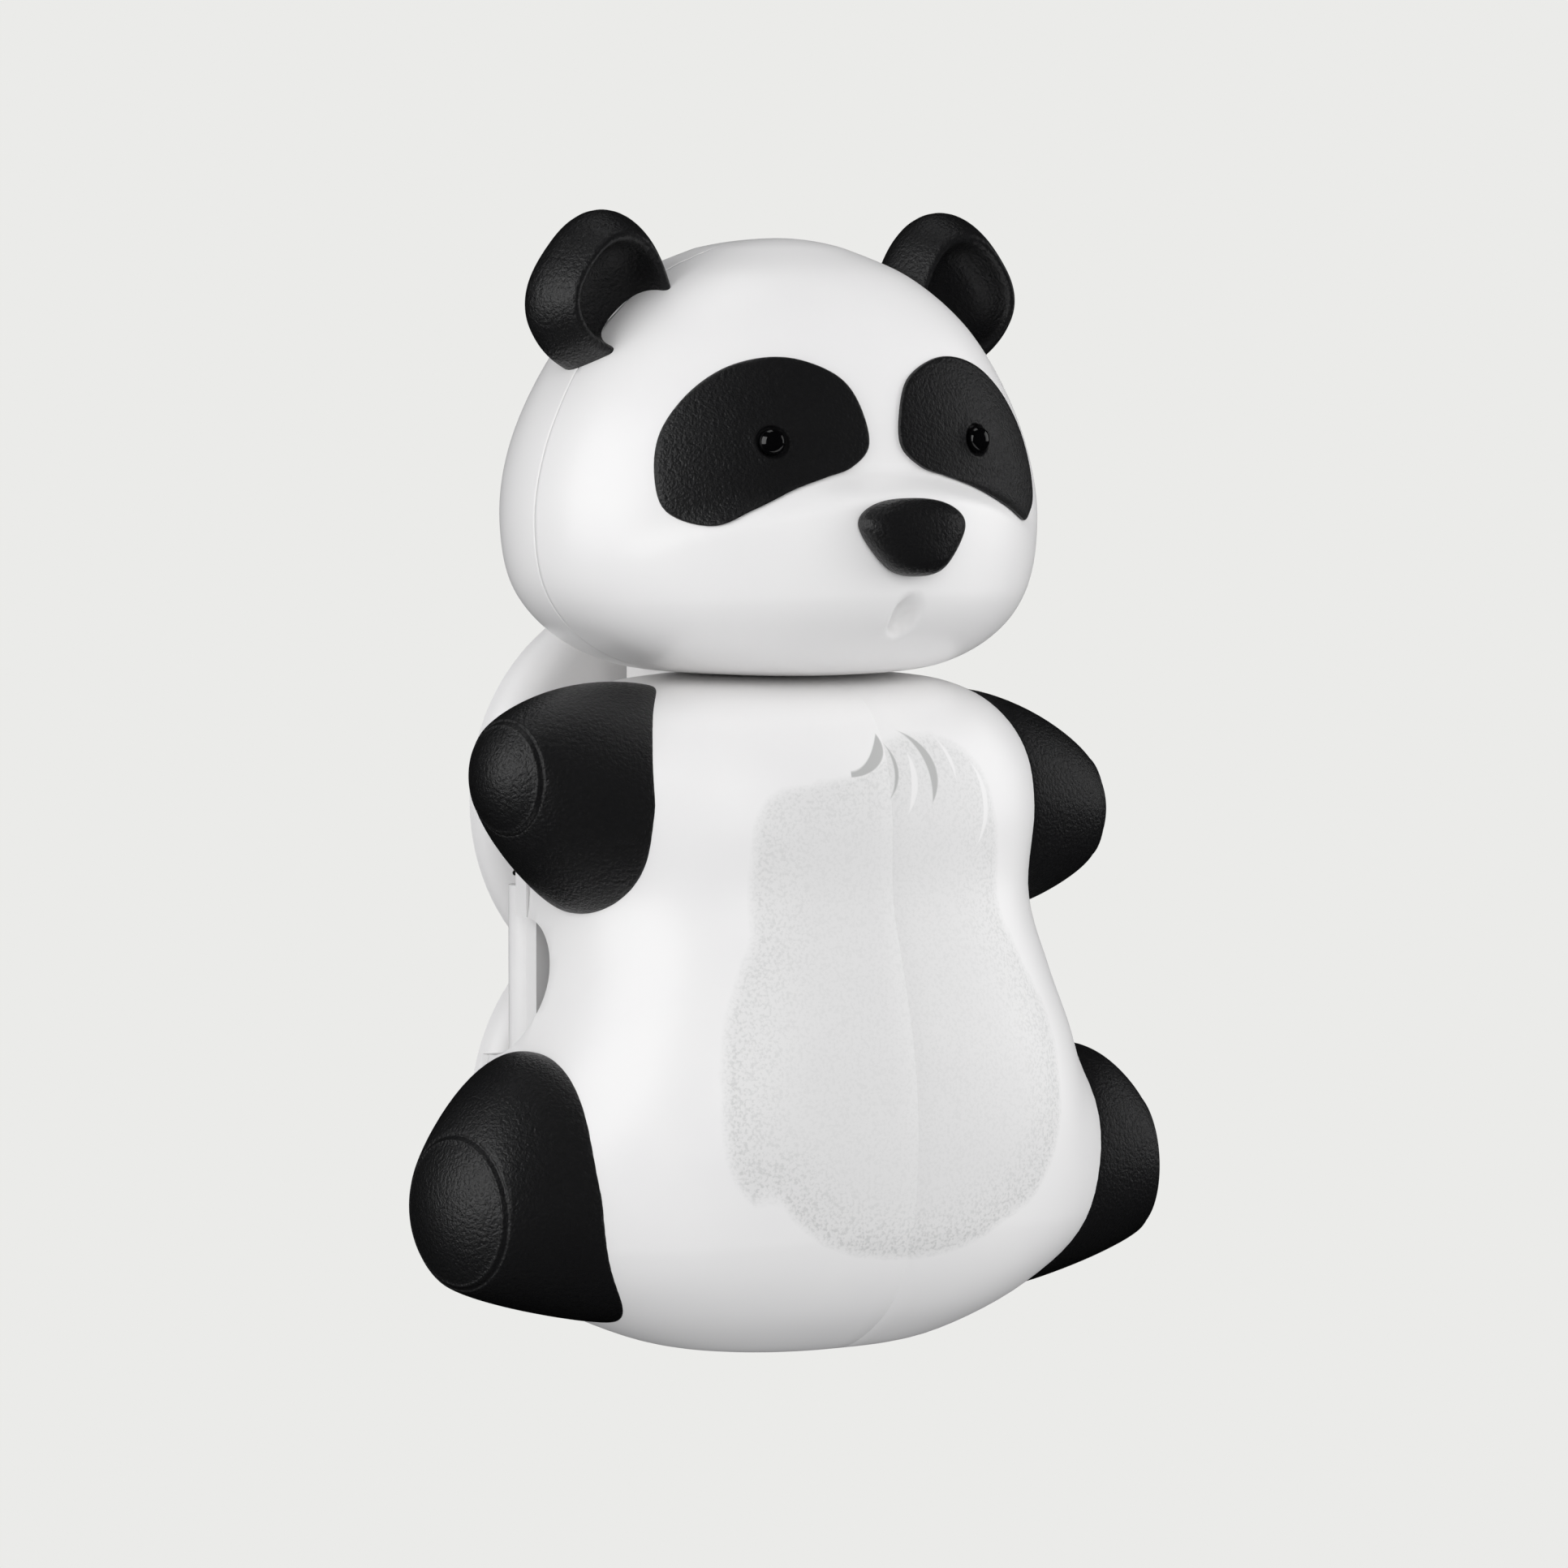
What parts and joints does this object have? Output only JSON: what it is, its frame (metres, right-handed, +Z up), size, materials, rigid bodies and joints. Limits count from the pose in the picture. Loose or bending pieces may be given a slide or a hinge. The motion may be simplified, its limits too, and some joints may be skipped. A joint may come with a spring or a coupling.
{
  "type": "panda toothbrush cover",
  "caption": "Panda-shaped wall-mounted toothbrush cover: half-shell doors swing open on a back frame with a suction cup.",
  "frame": {"origin": "centre of the suction cup's lip, on the wall plane", "axes": "+Z up, +Y into the wall, the panda faces -Y"},
  "size_m": [0.062, 0.0437, 0.0842],
  "materials": {
    "white_abs": "satin",
    "black_abs": "fine texture",
    "black_gloss": "polished",
    "steel": "drawn",
    "clear_vinyl": "clear"
  },
  "bodies": {
    "frame": {"back_frame": "white_abs", "suction_cup": "clear_vinyl", "head_front": "white_abs", "head_back": "white_abs", "ear_left": "black_abs", "ear_right": "black_abs", "eye_patch_left": "black_abs", "eye_patch_right": "black_abs", "eye_left": "black_gloss", "eye_right": "black_gloss", "nose": "black_abs", "hinge_pin_left": "steel", "hinge_pin_right": "steel", "hinge_spring_left": "steel", "hinge_spring_right": "steel"},
    "door_left": {"door_left": "white_abs", "arm_left": "black_abs", "leg_left": "black_abs", "hinge_lever_left": "white_abs"},
    "door_right": {"door_right": "white_abs", "arm_right": "black_abs", "leg_right": "black_abs", "hinge_lever_right": "white_abs"}
  },
  "joints": [
    {"name": "door_left_hinge", "type": "hinge", "parent": "frame", "child": "door_left", "pos_m": [-0.0164, -0.015, -0.0125], "axis": [0, 0, -1], "range_deg": [0, 40], "stiffness_Nm_per_rad": 0.003, "springref_deg": -14.9},
    {"name": "door_right_hinge", "type": "hinge", "parent": "frame", "child": "door_right", "pos_m": [0.0164, -0.015, -0.0125], "axis": [0, 0, 1], "range_deg": [0, 40], "stiffness_Nm_per_rad": 0.003, "springref_deg": -14.9}
  ]
}
